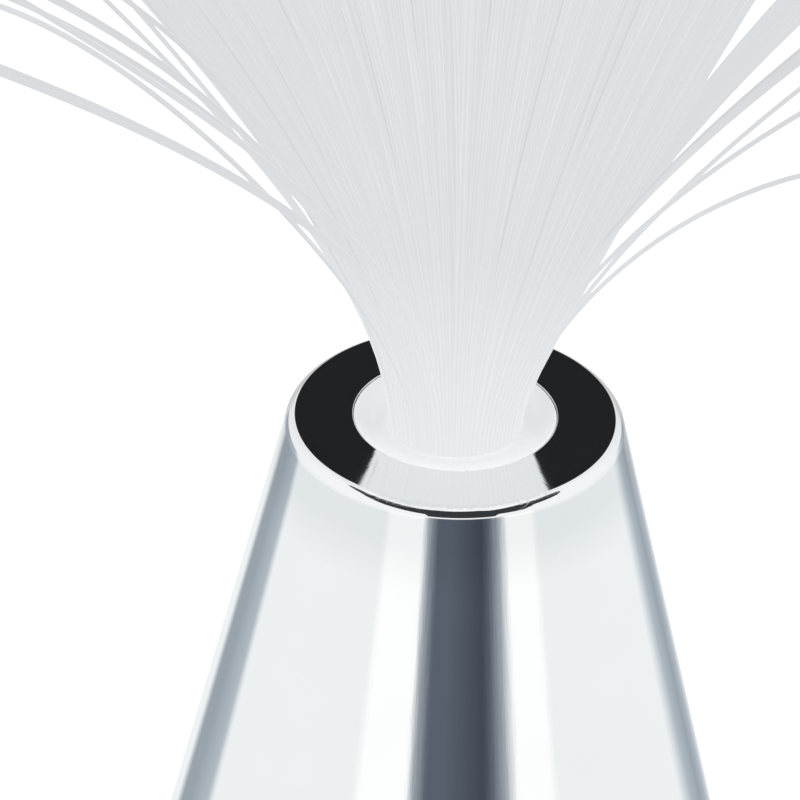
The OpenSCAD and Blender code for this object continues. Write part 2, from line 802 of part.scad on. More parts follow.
module crimp_ring() {
    color("goldenrod")
        translate([0, 0, ring_z]) difference() {
            cylinder(r = ring_r, h = ring_h);
            translate([0, 0, -1]) cylinder(r = bundle_bore_r, h = ring_h + 2);
        }
}

// A fibre's lean from upright after s millimetres, in degrees
function lean(s, share, splay, sag, power) = fibre_lean * share + splay * (1 - exp(-s / splay_l))
    + sag * pow(s / sag_l, power);
// Its distance out and height after s millimetres, summed over short steps
function walk(s, share, splay, sag, power) = s == 0 ? [0, 0] :
    let (d = s / walk_steps,
        leans = [for (i = [1 : walk_steps]) lean((i - 0.5) * d, share, splay, sag, power)])
    d * [sum([for (a = leans) sin(a)]), sum([for (a = leans) cos(a)])];
function sum(v) = v * [for (x = v) 1];

module strand_shape(a, r0, share, splay, sag, power, l, marks) {
    out = [cos(a), sin(a), 0];
    side = [-sin(a), cos(a), 0];
    n = len(marks);
    pts = [for (m = marks) let (p = walk(m * l, share, splay, sag, power))
        out * (r0 + p[0]) + [0, 0, spray_face + p[1]]];
    us = [for (m = marks) let (t = m == 0 ? 0 : lean(m * l, share, splay, sag, power))
        out * cos(t) - [0, 0, sin(t)]];
    vs = [for (i = [0 : n - 1]) side];
    tube(pts, us, vs, fibre_d / 2, strand_sides);
}

module fibre_spray() {
    color("#e4e8ea")
        resize([0, 0, 0]) union() {
            translate([0, 0, slice_z]) cylinder(r = bundle_r, h = spray_slice, $fn = 32);
            for (i = [0 : spiral_count - 1]) {
                share = sqrt((i + 0.5) / spiral_count);
                strand_shape(i * golden, spiral_r * share, share, fibre_splay * share,
                    sag_middle + (fibre_sag - sag_middle) * share * share, sag_power,
                    fibre_l * (1 + 0.02 * sin(77 * i)), share < inner_share ? inner_stations : stations);
            }
            for (s = strays)
                strand_shape(s[0], stray_r, 1, s[1], s[2], stray_power, fibre_l * stray_rise, stray_stations);
        }
}

cone_shell();
base_plate();
rubber_feet();
base_screws();
battery_1();
battery_2();
battery_3();
battery_springs();
contact_plates();
battery_door();
door_screw();
switch_case();
switch_frame();
switch_screws();
switch_knob();
socket_tube();
flange_screws();
reflector_cup();
circuit_board();
board_screws();
red_led();
green_led();
blue_led();
driver_chip();
resistors();
lead_wires();
ferrule();
fibre_bundle();
crimp_ring();
fibre_spray();
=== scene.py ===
"""Looks of the fibre optic lamp.

Shell, ferrule and fibres in full detail, a material for every piece, the studio and the camera.
Lengths are in millimetres and turned into metres by MM, angles are in degrees.
"""

import math

import bmesh
import bpy
import numpy as np
from mathutils import Matrix, Vector


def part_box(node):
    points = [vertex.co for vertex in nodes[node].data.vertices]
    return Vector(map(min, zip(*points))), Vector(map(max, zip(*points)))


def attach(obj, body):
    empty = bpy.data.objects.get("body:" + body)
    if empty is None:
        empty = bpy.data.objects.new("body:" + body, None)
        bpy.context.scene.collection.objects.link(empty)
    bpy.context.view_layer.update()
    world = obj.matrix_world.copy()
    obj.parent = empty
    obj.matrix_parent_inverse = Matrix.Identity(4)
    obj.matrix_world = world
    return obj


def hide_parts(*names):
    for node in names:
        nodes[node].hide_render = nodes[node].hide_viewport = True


MM = 0.001

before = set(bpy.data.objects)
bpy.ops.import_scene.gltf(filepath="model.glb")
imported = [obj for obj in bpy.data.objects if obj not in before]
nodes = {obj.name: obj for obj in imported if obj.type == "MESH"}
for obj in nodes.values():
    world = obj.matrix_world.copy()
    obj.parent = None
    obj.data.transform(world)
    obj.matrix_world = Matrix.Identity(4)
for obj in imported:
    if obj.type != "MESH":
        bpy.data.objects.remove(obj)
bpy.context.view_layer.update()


# ---------- sizes, read from the frame where it has them ----------

def size_of(node):
    """A CAD node's lowest and highest corner, in millimetres."""
    low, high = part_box(node)
    return np.array(low) / MM, np.array(high) / MM


shell_low, shell_high = size_of("cone_shell")
TOP_Z = shell_high[2]
SHELL_Z = shell_low[2]
BASE_R = shell_high[0]
NECK_R = 20.9
WALL_T = 2.0
SHELL_SKIN = 0.8
EDGE_R = 2.0
EDGE_TILT = 20.0
MOUTH_R = 12.75
SOCKET_BORE_R = 15.15
MOUTH_CHAMFER = 0.05

COLLAR_R = MOUTH_R - 0.06
NOSE_Z = size_of("ferrule")[0][2]
LEDGE_Z = TOP_Z - 16.0
NOSE_R = 10.9
BUNDLE_BORE_R = 8.5
BUNDLE_R = 8.45
DISH = 0.8
SPRAY_FACE = TOP_Z - DISH
SPRAY_SLICE = 2.0

PLATE_T = 3.0
PLATE_TOP = size_of("base_plate")[0][2] + PLATE_T
BOSS_R = 3.4
BOSS_H = 24.0
BOSS_RING_R = 40.0
BOSS_ANGLES = (72, 108, 252, 288)
POST_R = 3.0
POST_RING_R = 21.0
POST_ANGLES = (30, 150, 270)
POST_LOW = TOP_Z - 26.0


# ---------- mesh helpers ----------

def add_object(name, mesh):
    obj = bpy.data.objects.new(name, mesh)
    bpy.context.scene.collection.objects.link(obj)
    return obj


def smooth(mesh, sharp_angle=None):
    """Smooth shading, with edges sharper than sharp_angle kept."""
    mesh.polygons.foreach_set("use_smooth", np.ones(len(mesh.polygons), bool))
    if sharp_angle is not None:
        mesh.set_sharp_from_angle(angle=math.radians(sharp_angle))


def arc(centre, radius, start, end, steps):
    """Points on an arc in the profile's plane, from start to end degrees."""
    angles = np.radians(np.linspace(start, end, steps + 1))
    return [(centre[0] + radius * math.cos(a), centre[1] + radius * math.sin(a)) for a in angles]


def lathe(bm, profile, segments):
    """Turns a profile of (radius, height) points about the Z axis. The profile is a closed loop that keeps
    clear of the axis."""
    rings = []
    for r, z in profile:
        rings.append([bm.verts.new((r * math.cos(t), r * math.sin(t), z))
                      for t in np.linspace(0, 2 * math.pi, segments, endpoint=False)])
    for a, b in zip(rings, rings[1:] + rings[:1]):
        for k in range(segments):
            j = (k + 1) % segments
            bm.faces.new((a[k], a[j], b[j], b[k]))


def pillar(bm, x, y, low, high, radius, segments=32):
    """An upright solid cylinder, kept inside the shell's outer surface."""
    made = bmesh.ops.create_cone(bm, cap_ends=True, segments=segments, radius1=radius, radius2=radius,
                                 depth=high - low)
    bmesh.ops.translate(bm, verts=made["verts"], vec=(x, y, (low + high) / 2))
    for v in made["verts"]:
        reach = math.hypot(v.co.x, v.co.y)
        inside = min(1, (cone_r(v.co.z) - SHELL_SKIN) / reach)
        v.co.x *= inside
        v.co.y *= inside


def finish_mesh(bm, name, sharp_angle=35):
    """The bmesh, built in millimetres, as an object in metres with its faces turned outwards."""
    bmesh.ops.recalc_face_normals(bm, faces=bm.faces)
    bmesh.ops.scale(bm, vec=(MM,) * 3, verts=bm.verts)
    mesh = bpy.data.meshes.new(name)
    bm.to_mesh(mesh)
    bm.free()
    smooth(mesh, sharp_angle)
    return add_object(name, mesh)


# ---------- the polished shell ----------

CONE_SLOPE = (BASE_R - NECK_R) / (TOP_Z - SHELL_Z)
CONE_ANGLE = math.degrees(math.atan(CONE_SLOPE))


def cone_r(z):
    """The shell's outer radius at height z."""
    return NECK_R + CONE_SLOPE * (TOP_Z - z)


def build_shell():
    drop = EDGE_R * math.cos(math.radians(EDGE_TILT))
    edge_centre = (cone_r(TOP_Z - drop) - EDGE_R / math.cos(math.radians(CONE_ANGLE)), TOP_Z - drop)
    socket_top = TOP_Z - WALL_T
    low_edge = 0.3
    profile = [(cone_r(SHELL_Z) - low_edge, SHELL_Z), (cone_r(SHELL_Z + low_edge), SHELL_Z + low_edge)]
    profile += [(cone_r(z), z) for z in np.linspace(SHELL_Z + 6, TOP_Z - 6, 24)]
    profile += arc(edge_centre, EDGE_R, CONE_ANGLE, 90 - EDGE_TILT, 14)
    profile += [(r, TOP_Z) for r in np.linspace(profile[-1][0] - 1, MOUTH_R + 1, 4)]
    profile += [(MOUTH_R + MOUTH_CHAMFER, TOP_Z), (MOUTH_R, TOP_Z - MOUTH_CHAMFER), (MOUTH_R, socket_top)]
    profile += [(SOCKET_BORE_R, socket_top), (SOCKET_BORE_R, socket_top - 0.1)]
    profile += [(cone_r(socket_top) - WALL_T, socket_top - 0.1), (cone_r(SHELL_Z) - WALL_T, SHELL_Z)]
    bm = bmesh.new()
    lathe(bm, profile, 256)
    for a in BOSS_ANGLES:
        x, y = BOSS_RING_R * math.cos(math.radians(a)), BOSS_RING_R * math.sin(math.radians(a))
        pillar(bm, x, y, PLATE_TOP, PLATE_TOP + BOSS_H, BOSS_R)
    for a in POST_ANGLES:
        x, y = POST_RING_R * math.cos(math.radians(a)), POST_RING_R * math.sin(math.radians(a))
        pillar(bm, x, y, POST_LOW, socket_top, POST_R)
    return finish_mesh(bm, "shell", 15)


# ---------- the ferrule ----------

def build_ferrule():
    rim = 0.35
    dish_r = BUNDLE_BORE_R + 1.2
    profile = [(BUNDLE_BORE_R, NOSE_Z), (NOSE_R - 0.3, NOSE_Z), (NOSE_R, NOSE_Z + 0.3), (NOSE_R, LEDGE_Z),
               (COLLAR_R - 0.2, LEDGE_Z), (COLLAR_R, LEDGE_Z + 0.2)]
    profile += arc((COLLAR_R - rim, TOP_Z - rim), rim, 0, 90, 8)
    profile += [(r, TOP_Z - 0.6 * ((COLLAR_R - rim - r) / (COLLAR_R - rim - dish_r)) ** 2)
                for r in np.linspace(COLLAR_R - rim - 0.4, dish_r, 8)]
    profile += [(BUNDLE_BORE_R + 0.35, SPRAY_FACE + 0.06), (BUNDLE_BORE_R, SPRAY_FACE)]
    bm = bmesh.new()
    lathe(bm, profile, 192)
    return finish_mesh(bm, "ferrule_collar")


def build_root():
    """The slice of the bundle that the fibres stand in, flat on top."""
    bm = bmesh.new()
    profile = [(0.01, SPRAY_FACE - SPRAY_SLICE), (BUNDLE_BORE_R, SPRAY_FACE - SPRAY_SLICE)]
    profile += [(r, SPRAY_FACE) for r in np.linspace(BUNDLE_BORE_R, 0.01, 12)]
    lathe(bm, profile, 96)
    return finish_mesh(bm, "fibre_root")


# ---------- the fibres ----------

SEED = 7
GOLDEN_ANGLE = 137.508
FIBRE_COUNT = 1300
FIBRE_GROUPS = 4
FIBRE_D = 0.5
FIBRE_SIDES = 6
FIBRE_STEPS = 24
FIBRE_L = 196.0
LEAN = 3.2
SPLAY = 24.3
SPLAY_L = 12.5
# The left side opens wider and more slowly than the right side
SPLAY_SKEW = 5.5
SPLAY_L_SKEW = 8.3
SAG = 60.0
SAG_MIDDLE = 10.0
SAG_L = 200.0
SAG_POWER = 3.0
WISPS = 90
STRAY_D = 0.64
STRAY_LEAN = 5.0
STRAY_POWER = 1.5
STRAY_STEPS = 48
# Strays that stand clear of the rest in the photograph: direction, splay, sag and sideways drift in degrees,
# length, and the length over which they splay
STRAYS = (
    (232.5, 31.4, 35.1, 17.7, 190, 14), (236.2, 24.2, 66.4, -24.0, 190, 14),
    (260.0, 37.0, 9.1, -29.5, 190, 14), (173.8, 40.8, 9.9, -2.1, 190, 24),
    (174.2, 40.6, 0.0, -17.2, 190, 24), (226.1, 19.9, 67.3, 1.7, 190, 14),
    (333.2, 26.8, 135.8, -30.0, 188, 14), (322.0, 31.2, 48.5, 7.0, 175, 19.4),
    (350.4, 28.7, 54.8, -0.3, 190, 14))
# Strays that run together: the first, the last, and how many
STRAY_FANS = (
    ((256.6, 36.45, 24.6, -29.5, 190, 14), (256.6, 36.75, 24.6, -29.5, 190, 14), 2),
    ((235.0, 24.1, 59.1, -12.8, 190, 14), (235.0, 24.3, 59.1, -12.8, 190, 14), 2),
    ((328, 37.3, 3.1, -3.8, 186, 31.9), (328, 38.2, 5.3, -3.8, 186, 31.9), 4))
# The same for the rim of the rest
RIM = (
    (0, 20, 96, 0, 190, 14), (90, 20, 96, 0, 190, 14), (270, 23, 30, 0, 190, 14),
    (34, 24, 84, 1, 190, 14), (62, 22, 104, 0, 190, 14), (76, 23, 88, 0, 190, 14),
    (118, 22, 100, 0, 190, 14), (146, 24, 82, 1, 190, 14))
RIM_FANS = (
    ((205, 29.1, 13.4, -6.5, 190, 25.7), (205, 31.4, -20.0, -6.5, 190, 25.7), 6),
    ((361.3, 19.6, 61.8, 0.2, 190, 14), (340.9, 21.1, 47.7, -6.8, 190, 14), 10))


def bent_paths(angle, start_r, lean, splay, splay_l, sag, power, length, drift, steps=FIBRE_STEPS):
    """Centre points (fibres, steps + 1, 3) of fibres that lean out, spring apart and droop."""
    s = (np.arange(steps + 1) / steps)[None, :] ** 1.25 * length[:, None]
    middle = (s[:, 1:] + s[:, :-1]) / 2
    tilt = np.radians(lean[:, None] + splay[:, None] * (1 - np.exp(-middle / splay_l[:, None]))
                      + sag[:, None] * (middle / SAG_L) ** power)
    ds = np.diff(s, axis=1)
    zero = np.zeros((len(s), 1))
    out = start_r[:, None] + np.hstack([zero, np.cumsum(np.sin(tilt) * ds, axis=1)])
    up = SPRAY_FACE - 0.2 + np.hstack([zero, np.cumsum(np.cos(tilt) * ds, axis=1)])
    turn = np.radians(angle[:, None] + drift[:, None] * (s / FIBRE_L) ** 1.3)
    return np.stack([out * np.cos(turn), out * np.sin(turn), up], axis=2)


def tubes(name, paths, radius):
    """One mesh of closed tubes along the paths."""
    count, points, _ = paths.shape
    along = np.gradient(paths, axis=1)
    along /= np.linalg.norm(along, axis=2, keepdims=True)
    side = np.cross(along, (0.31, 0.17, 0.05))
    side /= np.linalg.norm(side, axis=2, keepdims=True)
    other = np.cross(along, side)
    turn = np.arange(FIBRE_SIDES) * 2 * math.pi / FIBRE_SIDES
    ring = side[:, :, None, :] * np.cos(turn)[:, None] + other[:, :, None, :] * np.sin(turn)[:, None]
    verts = (paths[:, :, None, :] + radius * ring).reshape(-1, 3) * MM
    first = np.arange(count)[:, None, None] * points * FIBRE_SIDES
    level = np.arange(points - 1)[None, :, None] * FIBRE_SIDES
    k = np.arange(FIBRE_SIDES)[None, None, :]
    j = (k + 1) % FIBRE_SIDES
    walls = np.stack([first + level + k, first + level + j, first + level + FIBRE_SIDES + j,
                      first + level + FIBRE_SIDES + k], axis=3).reshape(-1, 4)
    start = np.arange(count)[:, None] * points * FIBRE_SIDES
    caps = np.vstack([start + np.arange(FIBRE_SIDES)[::-1],
                      start + (points - 1) * FIBRE_SIDES + np.arange(FIBRE_SIDES)])
    mesh = bpy.data.meshes.new(name)
    mesh.from_pydata(verts.tolist(), [], walls.tolist() + caps.tolist())
    smooth(mesh, 50)
    return add_object(name, mesh)


def stray_paths(rows, fans):
    """Centre points of single strays, one a row, and of those that run together."""
    strands = np.vstack([rows] + [np.linspace(*fan) for fan in fans])
    direction, splay, sag, drift, length, splay_l = strands.T
    ones = np.ones(len(direction))
    return bent_paths(direction, ones * (BUNDLE_R - 0.35), ones * STRAY_LEAN, splay, splay_l, sag,
                      STRAY_POWER, length, drift, STRAY_STEPS)


def build_fibres():
    """The groups of fibres with the rim, and the strays apart."""
    rng = np.random.default_rng(SEED)
    i = np.arange(FIBRE_COUNT)
    share = np.sqrt((i + 0.5) / FIBRE_COUNT)
    angle = (i * GOLDEN_ANGLE) % 360
    start_r = (BUNDLE_R - FIBRE_D / 2 - 0.15) * share
    # Neighbouring fibres gather into wisps: each takes most of its wander from the nearest wisp
    wisp_share = np.sqrt((np.arange(WISPS) + 0.5) / WISPS)
    wisp_angle = np.radians(np.arange(WISPS) * GOLDEN_ANGLE)
    wisp_xy = np.stack([wisp_share * np.cos(wisp_angle), wisp_share * np.sin(wisp_angle)], axis=1)
    xy = np.stack([share * np.cos(np.radians(angle)), share * np.sin(np.radians(angle))], axis=1)
    nearest = np.linalg.norm(xy[:, None] - wisp_xy[None], axis=2).argmin(axis=1)
    wander = 0.6 * rng.normal(size=(WISPS, 4))[nearest] + 0.75 * rng.normal(size=(FIBRE_COUNT, 4))
    wander = np.clip(wander, -1.8, 1.8)
    rim = 1 - 0.7 * share ** 6
    left = -share * np.cos(np.radians(angle))
    splay = SPLAY * share + SPLAY_SKEW * left + 1.6 * rim * wander[:, 0]
    sag = SAG_MIDDLE + (SAG - SAG_MIDDLE) * share ** 2 + 5.0 * rim * wander[:, 1]
    drift = 5.0 * wander[:, 2]
    length = FIBRE_L * (1 + 0.012 * wander[:, 3])
    paths = bent_paths(angle, start_r, LEAN * share, splay, SPLAY_L + SPLAY_L_SKEW * left, sag, SAG_POWER,
                       length, drift)
    groups = [tubes(f"fibres_{g + 1}", paths[g::FIBRE_GROUPS], FIBRE_D / 2) for g in range(FIBRE_GROUPS)]
    groups.append(tubes("fibres_rim", stray_paths(RIM, RIM_FANS), STRAY_D / 2))
    return groups, tubes("stray_fibres", stray_paths(STRAYS, STRAY_FANS), STRAY_D / 2)


# ---------- materials ----------

class Shader:
    """The node tree of a material or world being built: adds nodes, sets their inputs, links them."""

    def __init__(self, owner):
        owner.use_nodes = True
        self.owner = owner
        self.tree = owner.node_tree
        self.tree.nodes.clear()
        self.coords = self.add("ShaderNodeTexCoord").outputs["Object"]

    def add(self, kind, settings=None, **inputs):
        """A node with these settings. An input is named, or numbered as n0, n1 and so on."""
        made = self.tree.nodes.new(kind)
        for key, value in (settings or {}).items():
            setattr(made, key, value)
        for key, value in inputs.items():
            self.feed(made.inputs[int(key[1:]) if key[1:].isdigit() else key.replace("_", " ")], value)
        return made

    def feed(self, socket, value):
        if isinstance(value, bpy.types.NodeSocket):
            self.tree.links.new(value, socket)
        else:
            socket.default_value = value

    def sum(self, operation, a, b=0.0):
        return self.add("ShaderNodeMath", {"operation": operation}, n0=a, n1=b).outputs[0]

    def split(self, vector):
        """The X, Y and Z of a vector."""
        return self.add("ShaderNodeSeparateXYZ", Vector=vector).outputs

    def noise(self, scale, detail=3.0, stretch=(1, 1, 1)):
        """Noise at scale bumps per metre, stretched along the axes."""
        moved = self.add("ShaderNodeMapping", Vector=self.coords, Scale=stretch)
        made = self.add("ShaderNodeTexNoise", Vector=moved.outputs[0], Scale=scale, Detail=detail)
        return made.outputs["Fac"]

    def spread(self, value, low, high, start=0.3, end=0.7):
        """value from start to end becomes low to high."""
        return self.add("ShaderNodeMapRange", Value=value, From_Min=start, From_Max=end, To_Min=low,
                        To_Max=high).outputs[0]

    def blend(self, factor, a, b):
        return self.add("ShaderNodeMix", {"data_type": "RGBA"}, n0=factor, n6=a, n7=b).outputs[2]

    def bump(self, height, distance, strength=1.0):
        made = self.add("ShaderNodeBump", Height=height, Strength=strength, Distance=distance)
        return made.outputs["Normal"]

    def surface(self, **inputs):
        """Ends the material in a Principled BSDF with these inputs."""
        self.finish("ShaderNodeOutputMaterial", self.add("ShaderNodeBsdfPrincipled", **inputs))
        return self.owner

    def finish(self, kind, last):
        self.add(kind, Surface=last.outputs[0])


def new_look(name):
    return Shader(bpy.data.materials.new(name))


def tone(r, g, b):
    return (r, g, b, 1.0)


def polished_metal():
    """A mirror with streaks down the wall. Near its top the wall is a little darker, a painted shade, and the
    flat top is less sharp."""
    s = new_look("polished_metal_look")
    x, y, z = s.split(s.coords)
    radial = s.add("ShaderNodeCombineXYZ", X=x, Y=y).outputs[0]
    around = s.add("ShaderNodeVectorMath", {"operation": "NORMALIZE"}, n0=radial).outputs[0]
    nx, ny, _ = s.split(around)
    along = s.add("ShaderNodeCombineXYZ", X=nx, Y=ny, Z=s.sum("MULTIPLY", z, 3.0)).outputs[0]
    streak = s.add("ShaderNodeTexNoise", Vector=along, Scale=50.0, Detail=3.0).outputs["Fac"]
    smear = s.noise(90, 4)
    shine = s.blend(s.spread(smear, 0, 1), tone(0.945, 0.95, 0.952), tone(0.965, 0.967, 0.968))
    # The darker colour of the painted shade on the wall just below the top
    shaded_tone = s.blend(s.spread(smear, 0, 1), tone(0.845, 0.855, 0.86), tone(0.865, 0.872, 0.875))
    # Where the painted shade falls: it comes in from 11 to 5 mm below the top and stops short of the rounded
    # edge
    near_top = s.spread(z, 0, 1, (TOP_Z - 11) * MM, (TOP_Z - 5) * MM)
    wall = s.sum("MULTIPLY", near_top, s.spread(z, 1, 0, (TOP_Z - 1.6) * MM, (TOP_Z - 1.3) * MM))
    flat = s.spread(z, 0, 0.045, (TOP_Z - 0.08) * MM, (TOP_Z - 0.02) * MM)
    return s.surface(Base_Color=s.blend(wall, shine, shaded_tone), Metallic=1.0,
                     Roughness=s.sum("ADD", s.spread(smear, 0.012, 0.03), flat),
                     Normal=s.bump(streak, 0.000004))


def moulded(name, dark, light, roughness, grain=2200, depth=0.00002, **extra):
    """Moulded plastic or rubber: slightly uneven colour and gloss, with a fine grain."""
    s = new_look(name)
    patch = s.noise(140, 3)
    return s.surface(Base_Color=s.blend(s.spread(patch, 0, 1), tone(*dark), tone(*light)),
                     Roughness=s.spread(patch, roughness - 0.05, roughness + 0.06),
                     Normal=s.bump(s.noise(grain, 3), depth), **extra)


def bare_metal(name, dark, light, roughness, stretch=(1, 1, 1)):
    """Plated or turned metal with fine marks."""
    s = new_look(name)
    marks = s.noise(1500, 4, stretch)
    return s.surface(Base_Color=s.blend(s.spread(marks, 0, 1), tone(*dark), tone(*light)), Metallic=1.0,
                     Roughness=s.spread(marks, roughness - 0.07, roughness + 0.1),
                     Normal=s.bump(marks, 0.00001))


# Emission tones of the fibres: a painted glow that stands in for light, flattens their shading and brightens
# the mass. The last tone, just above the ferrule, is the brightest painted glow.
FIBRE_PAINTED_GLOW = (0.633, 0.654, 0.669)
RARE_PAINTED_GLOW = (0.575, 0.595, 0.61)
STRAY_PAINTED_GLOW = (0.606, 0.611, 0.629)
RARE_STRAY_PAINTED_GLOW = (0.56, 0.565, 0.58)
ROOT_PAINTED_GLOW = (0.766, 0.798, 0.813)


def fibre_look(name, painted_glow, rare_painted_glow):
    """Clear plastic with a painted glow: its emission stands in for light and flattens the shading. It is
    palest just above the ferrule, where the painted glow is brightest and the base colour is nearly black. A
    fibre takes the painted glow given as its argument where it stands well away from the axis, and one in
    thirty or so has a dimmer painted glow."""
    s = new_look(name)
    x, y, height = s.split(s.coords)
    root = SPRAY_FACE * MM
    rise = s.spread(height, 0, 1, root, root + 0.035)
    away = s.add("ShaderNodeCombineXYZ", X=x, Y=y).outputs[0]
    away = s.add("ShaderNodeVectorMath", {"operation": "LENGTH"}, n0=away).outputs["Value"]
    away = s.spread(away, 0, 1, 0.03, 0.042)
    island = s.add("ShaderNodeNewGeometry").outputs["Random Per Island"]
    rare = s.spread(island, 0, 1, 0.965, 0.97)
    shine = s.noise(70, 2, (1, 1, 0.4))
    body = s.blend(s.spread(island, 0, 1, 0.0, 1.0), tone(0.078, 0.08, 0.083), tone(0.094, 0.097, 0.1))
    near = s.blend(rare, tone(*FIBRE_PAINTED_GLOW), tone(*RARE_PAINTED_GLOW))
    far = s.blend(away, near, s.blend(rare, tone(*painted_glow), tone(*rare_painted_glow)))
    # Painted glow: the emission colour stands in for light, brightest just above the ferrule. There the base
    # colour is nearly black, so no shading shows.
    return s.surface(Base_Color=s.blend(rise, tone(0.015, 0.016, 0.017), body),
                     Roughness=s.spread(shine, 0.35, 0.48), IOR=1.49, Specular_IOR_Level=0.1,
                     Emission_Strength=1.0, Emission_Color=s.blend(rise, tone(*ROOT_PAINTED_GLOW), far))


def bundle_look():
    """The ends of the packed fibres: a fine cell pattern in clear resin."""
    s = new_look("bundle_look")
    cells = s.add("ShaderNodeTexVoronoi", Vector=s.coords, Scale=1700.0)
    return s.surface(Base_Color=s.blend(s.spread(cells.outputs["Distance"], 0, 1, 0.1, 0.7),
                                        tone(0.80, 0.825, 0.835), tone(0.74, 0.765, 0.775)),
                     Roughness=s.spread(cells.outputs["Distance"], 0.25, 0.4, 0.1, 0.7),
                     Normal=s.bump(cells.outputs["Distance"], 0.00002))


def cell_look(node):
    """A battery cell: coloured sleeve with bare metal ends."""
    low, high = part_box(node)
    middle, half = (low.y + high.y) / 2, (high.y - low.y) / 2
    s = new_look(node + "_look")
    y = s.split(s.coords)[1]
    away = s.sum("ABSOLUTE", s.sum("SUBTRACT", y, middle))
    end = s.spread(away, 0, 1, half - 0.0018, half - 0.0015)
    band = s.spread(y, 0, 1, middle - 0.0102, middle - 0.01)
    patch = s.noise(200, 3)
    sleeve = s.blend(band, tone(0.035, 0.16, 0.06), tone(0.05, 0.24, 0.09))
    return s.surface(Base_Color=s.blend(end, sleeve, tone(0.62, 0.62, 0.61)), Metallic=end,
                     Roughness=s.spread(patch, 0.28, 0.4), Normal=s.bump(patch, 0.00001))


def led_look(name, body):
    """The tinted dome of a diode."""
    s = new_look(name)
    cloud = s.noise(500, 2)
    pale = [min(1, c + 0.12) for c in body]
    return s.surface(Base_Color=s.blend(s.spread(cloud, 0, 1), tone(*body), tone(*pale)),
                     Roughness=s.spread(cloud, 0.12, 0.2), IOR=1.5, Transmission_Weight=0.55,
                     Normal=s.bump(cloud, 0.000005))


def board_look():
    """Green board with its tracks."""
    s = new_look("board_look")
    tracks = s.add("ShaderNodeTexBrick", {"offset": 0.37, "squash": 1.4}, Vector=s.coords, Scale=420.0,
                   Color1=tone(0.02, 0.12, 0.04), Color2=tone(0.025, 0.15, 0.05),
                   Mortar=tone(0.05, 0.24, 0.08), Mortar_Size=0.05)
    weave = s.noise(900, 2)
    return s.surface(Base_Color=tracks.outputs["Color"], Roughness=s.spread(weave, 0.25, 0.4),
                     Normal=s.bump(tracks.outputs["Fac"], 0.00003, 0.4))


def banded(name, base, band, scale):
    """Small parts with a generic printed band."""
    s = new_look(name)
    wave = s.add("ShaderNodeTexWave", {"wave_type": "BANDS", "bands_direction": "Y"}, Vector=s.coords,
                 Scale=scale)
    printed = s.spread(wave.outputs["Fac"], 0, 1, 0.75, 0.8)
    return s.surface(Base_Color=s.blend(printed, tone(*base), tone(*band)),
                     Roughness=s.spread(s.noise(900, 2), 0.3, 0.45),
                     Normal=s.bump(s.noise(2500, 2), 0.00001))


def dress(obj, material):
    obj.data.materials.clear()
    obj.data.materials.append(material)


def dress_node(name, material):
    """Gives a CAD node this material in place of its packed one."""
    for slot in nodes[name].material_slots:
        slot.material = material


def dress_all(shell, ferrule, root, fibres, strays):
    metal = polished_metal()
    white = moulded("ferrule_look", (0.845, 0.855, 0.86), (0.88, 0.887, 0.89), 0.34)
    black = moulded("black_plastic_look", (0.012, 0.012, 0.013), (0.022, 0.022, 0.024), 0.48, 1500, 0.00004)
    rubber = moulded("rubber_look", (0.02, 0.02, 0.02), (0.035, 0.035, 0.036), 0.8, 900, 0.00006)
    inner_white = moulded("white_plastic_look", (0.76, 0.765, 0.76), (0.82, 0.82, 0.815), 0.42)
    steel = bare_metal("steel_look", (0.5, 0.5, 0.51), (0.66, 0.66, 0.67), 0.28, (1, 1, 4))
    nickel = bare_metal("nickel_look", (0.58, 0.57, 0.55), (0.72, 0.71, 0.69), 0.24, (1, 5, 1))
    brass = bare_metal("brass_look", (0.55, 0.39, 0.16), (0.72, 0.53, 0.24), 0.3, (1, 1, 6))
    wire = moulded("wire_look", (0.42, 0.02, 0.02), (0.52, 0.035, 0.03), 0.36, 1200, 0.00001)
    knob = moulded("knob_look", (0.62, 0.6, 0.55), (0.7, 0.68, 0.62), 0.45, 1500, 0.00003)
    bundle = bundle_look()
    dress(shell, metal)
    dress(ferrule, white)
    strand = fibre_look("fibre_look", FIBRE_PAINTED_GLOW, RARE_PAINTED_GLOW)
    # The root slice takes the fibres' painted glow too, so it shows the same pale painted tone as the fibres'
    # feet
    for obj in [root] + fibres:
        dress(obj, strand)
    dress(strays, fibre_look("stray_fibre_look", STRAY_PAINTED_GLOW, RARE_STRAY_PAINTED_GLOW))
    looks = {
        "base_plate": black, "battery_door": black, "switch_case": black, "driver_chip": black,
        "rubber_feet": rubber, "socket_tube": inner_white, "reflector_cup": inner_white,
        "base_screws": steel, "door_screw": steel, "switch_screws": steel, "flange_screws": steel,
        "board_screws": steel, "switch_frame": nickel, "battery_springs": nickel, "contact_plates": nickel,
        "crimp_ring": brass, "fibre_bundle": bundle, "lead_wires": wire, "switch_knob": knob,
        "circuit_board": board_look(), "battery_1": cell_look("battery_1"),
        "battery_2": cell_look("battery_2"), "battery_3": cell_look("battery_3"),
        "red_led": led_look("red_led_look", (0.75, 0.05, 0.04)),
        "green_led": led_look("green_led_look", (0.05, 0.6, 0.12)),
        "blue_led": led_look("blue_led_look", (0.05, 0.12, 0.72)),
        "resistors": banded("resistor_look", (0.55, 0.4, 0.22), (0.12, 0.05, 0.02), 480.0)}
    for name, material in looks.items():
        dress_node(name, material)


# ---------- the studio: floor, light, camera ----------

